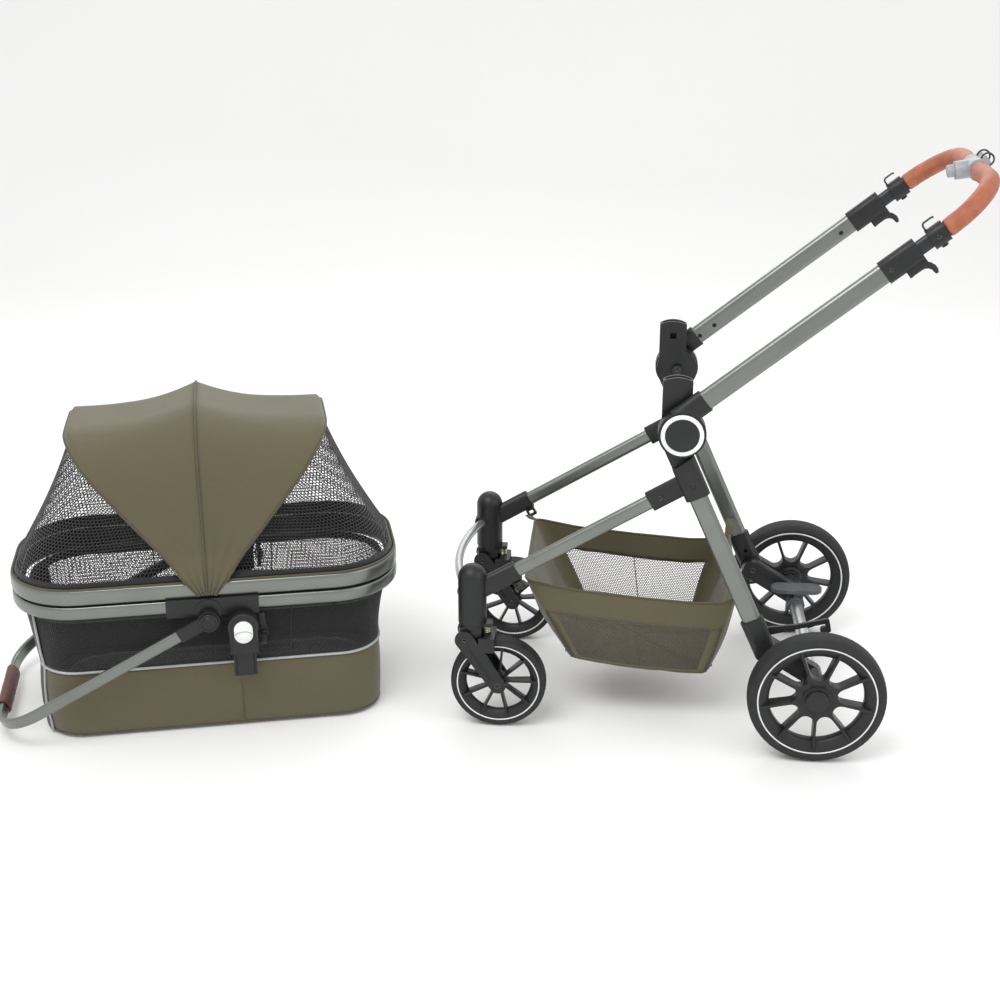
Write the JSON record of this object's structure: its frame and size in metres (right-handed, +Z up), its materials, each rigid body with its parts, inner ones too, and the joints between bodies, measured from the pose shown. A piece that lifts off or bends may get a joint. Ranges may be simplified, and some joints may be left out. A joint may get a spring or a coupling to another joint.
{
  "type": "pet stroller",
  "caption": "Folding wheeled chassis with a telescoping handle and basket, and a detachable hooded pet carrier standing in front of it.",
  "frame": {"origin": "middle of the parked set's box, on the floor", "axes": "+Z up, chassis front towards -X, the stroller's right side towards +Y"},
  "size_m": [1.839, 0.6524, 1.0634],
  "materials": {
    "black_plastic": "fine moulded texture",
    "satin_tube": "satin grey-green anodised",
    "silver_tube": "satin silver",
    "dark_tube": "dark anodised",
    "olive_twill": "matt twill",
    "black_mesh": "fine spacer mesh",
    "netting": "open black netting",
    "mat_fabric": "brushed",
    "leather_tan": "smooth stitched",
    "leather_brown": "smooth stitched",
    "silver_plastic": "silver painted",
    "pale_plastic": "satin",
    "tyre_rubber": "matt with fine tread",
    "steel_dark": "satin black",
    "zinc_spring": "zinc plated",
    "pedal_grey": "ribbed grey"
  },
  "bodies": {
    "front_frame": {"front_legs": "satin_tube", "front_upper_sockets": "black_plastic", "front_lower_sockets": "black_plastic", "front_crossbar": "silver_tube", "basket_hooks": "black_plastic"},
    "rear_frame": {"basket": "olive_twill", "leg_casings": "black_plastic", "receivers": "black_plastic", "rear_legs": "satin_tube", "rear_leg_sockets": "black_plastic", "hub_bolts": "steel_dark"},
    "push_handle": {"push_sockets": "black_plastic", "push_tubes": "satin_tube", "hub_caps": "black_plastic", "hub_rings": "pale_plastic", "handle_collars": "black_plastic"},
    "trigger_left": {"trigger_left": "black_plastic"},
    "trigger_right": {"trigger_right": "black_plastic"},
    "handlebar": {"handlebar_tube": "dark_tube", "end_collars": "black_plastic", "handle_wire_loops": "steel_dark", "grip_sleeves": "leather_tan", "handle_block": "silver_plastic"},
    "handle_button": {"handle_button": "silver_plastic"},
    "rear_axle": {"axle_tube": "silver_tube", "trailing_arms": "black_plastic"},
    "brake_pedal": {"brake_pedal": "pedal_grey"},
    "storage_hook": {"storage_hook": "black_plastic"},
    "carrier": {"lower_ring": "satin_tube", "upper_ring": "satin_tube", "hub_housings": "black_plastic", "carrier_brackets": "black_plastic", "body_lower": "olive_twill", "body_upper": "black_mesh", "floor_mat": "mat_fabric", "rib_rear": "steel_dark", "net_rear": "netting", "net_front": "netting"},
    "release_left": {"release_button_left": "pale_plastic"},
    "release_right": {"release_button_right": "pale_plastic"},
    "carry_handle": {"carry_tube": "satin_tube", "carry_sockets": "black_plastic", "carry_grip": "leather_brown"},
    "hood_mid": {"rib_mid": "steel_dark", "hood_fabric": "olive_twill"},
    "hood_front": {"rib_front": "steel_dark"},
    "rear_wheel_left": {"rear_tyre_left": "tyre_rubber", "rear_rim_left": "black_plastic"},
    "caster_left": {"caster_yoke_left": "black_plastic", "caster_spring_left": "zinc_spring"},
    "fork_left": {"caster_fork_left": "black_plastic"},
    "front_wheel_left": {"front_tyre_left": "tyre_rubber", "front_rim_left": "black_plastic"},
    "rear_wheel_right": {"rear_tyre_right": "tyre_rubber", "rear_rim_right": "black_plastic"},
    "caster_right": {"caster_yoke_right": "black_plastic", "caster_spring_right": "zinc_spring"},
    "fork_right": {"caster_fork_right": "black_plastic"},
    "front_wheel_right": {"front_tyre_right": "tyre_rubber", "front_rim_right": "black_plastic"}
  },
  "joints": [
    {"name": "chassis_fold", "type": "hinge", "parent": "front_frame", "child": "rear_frame", "pos_m": [0.4214, 0.0382, 0.506], "axis": [0, -1, 0], "range_deg": [-60, 0]},
    {"name": "handle_fold", "type": "hinge", "parent": "rear_frame", "child": "push_handle", "pos_m": [0.3984, 0.0382, 0.603], "axis": [0, -1, 0], "range_deg": [0, 180]},
    {"name": "handle_extend", "type": "slide", "parent": "push_handle", "child": "handlebar", "axis": [0.7771, 0, 0.6293], "range_m": [0, 0.12]},
    {"name": "trigger_left_pull", "type": "slide", "parent": "push_handle", "child": "trigger_left", "axis": [-0.7771, 0, -0.6293], "range_m": [0, 0.005], "stiffness_N_per_m": 600, "springref_m": -0.004},
    {"name": "trigger_right_pull", "type": "slide", "parent": "push_handle", "child": "trigger_right", "axis": [-0.7771, 0, -0.6293], "range_m": [0, 0.005], "stiffness_N_per_m": 600, "springref_m": -0.004},
    {"name": "handle_button_press", "type": "slide", "parent": "handlebar", "child": "handle_button", "axis": [0.9877, 0, 0.1564], "range_m": [0, 0.005], "stiffness_N_per_m": 600, "springref_m": -0.004},
    {"name": "rear_suspension", "type": "hinge", "parent": "rear_frame", "child": "rear_axle", "pos_m": [0.5704, 0.0382, 0.18], "axis": [0, -1, 0], "range_deg": [0, 6], "stiffness_Nm_per_rad": 120, "springref_deg": -8.59},
    {"name": "brake_pedal_rock", "type": "hinge", "parent": "rear_axle", "child": "brake_pedal", "pos_m": [0.6594, 0.0382, 0.125], "axis": [0, 1, 0], "range_deg": [0, 14]},
    {"name": "storage_hook_swing", "type": "hinge", "parent": "rear_frame", "child": "storage_hook", "pos_m": [0.5564, 0.0382, 0.212], "axis": [0, -1, 0], "range_deg": [0, 35]},
    {"name": "rear_wheel_left_spin", "type": "hinge", "parent": "rear_axle", "child": "rear_wheel_left", "pos_m": [0.6594, -0.2248, 0.125], "axis": [0, 1, 0], "continuous": true},
    {"name": "caster_left_swivel", "type": "hinge", "parent": "front_frame", "child": "caster_left", "pos_m": [0.0264, -0.1438, 0.2], "axis": [0, 0, 1], "continuous": true},
    {"name": "fork_left_suspension", "type": "hinge", "parent": "caster_left", "child": "fork_left", "pos_m": [0.0134, -0.1438, 0.184], "axis": [0, -1, 0], "range_deg": [0, 6], "stiffness_Nm_per_rad": 60, "springref_deg": -6.88, "deforming": ["caster_spring_left"]},
    {"name": "front_wheel_left_spin", "type": "hinge", "parent": "fork_left", "child": "front_wheel_left", "pos_m": [0.0754, -0.1438, 0.0905], "axis": [0, 1, 0], "continuous": true},
    {"name": "rear_wheel_right_spin", "type": "hinge", "parent": "rear_axle", "child": "rear_wheel_right", "pos_m": [0.6594, 0.3012, 0.125], "axis": [0, 1, 0], "continuous": true},
    {"name": "caster_right_swivel", "type": "hinge", "parent": "front_frame", "child": "caster_right", "pos_m": [0.0264, 0.2202, 0.2], "axis": [0, 0, 1], "continuous": true},
    {"name": "fork_right_suspension", "type": "hinge", "parent": "caster_right", "child": "fork_right", "pos_m": [0.0134, 0.2202, 0.184], "axis": [0, -1, 0], "range_deg": [0, 6], "stiffness_Nm_per_rad": 60, "springref_deg": -6.88, "deforming": ["caster_spring_right"]},
    {"name": "front_wheel_right_spin", "type": "hinge", "parent": "fork_right", "child": "front_wheel_right", "pos_m": [0.0754, 0.2202, 0.0905], "axis": [0, 1, 0], "continuous": true},
    {"name": "carrier_lift", "type": "slide", "parent": "front_frame", "child": "carrier", "axis": [0, 0, 1], "range_m": [0, 0.5]},
    {"name": "release_left_press", "type": "slide", "parent": "carrier", "child": "release_left", "axis": [-0.2504, 0.9681, 0], "range_m": [0, 0.0025], "stiffness_N_per_m": 600, "springref_m": -0.003},
    {"name": "release_right_press", "type": "slide", "parent": "carrier", "child": "release_right", "axis": [0.2504, -0.9681, 0], "range_m": [0, 0.0025], "stiffness_N_per_m": 600, "springref_m": -0.003},
    {"name": "carry_handle_raise", "type": "hinge", "parent": "carrier", "child": "carry_handle", "pos_m": [-0.4966, -0.0538, 0.241], "axis": [-0.2504, 0.9681, 0], "range_deg": [0, 117]},
    {"name": "hood_fold", "type": "hinge", "parent": "carrier", "child": "hood_mid", "pos_m": [-0.4966, -0.0538, 0.264], "axis": [0.2504, -0.9681, 0], "range_deg": [-26, 0], "deforming": ["hood_fabric", "net_front"]},
    {"name": "hood_front_fold", "type": "hinge", "parent": "hood_mid", "child": "hood_front", "pos_m": [-0.4966, -0.0538, 0.264], "axis": [0.2504, -0.9681, 0], "range_deg": [-26, 0]}
  ],
  "couplings": [
    {"joint": "handle_fold", "follows": "chassis_fold", "ratio": -3},
    {"joint": "hood_front_fold", "follows": "hood_fold", "ratio": 1}
  ]
}
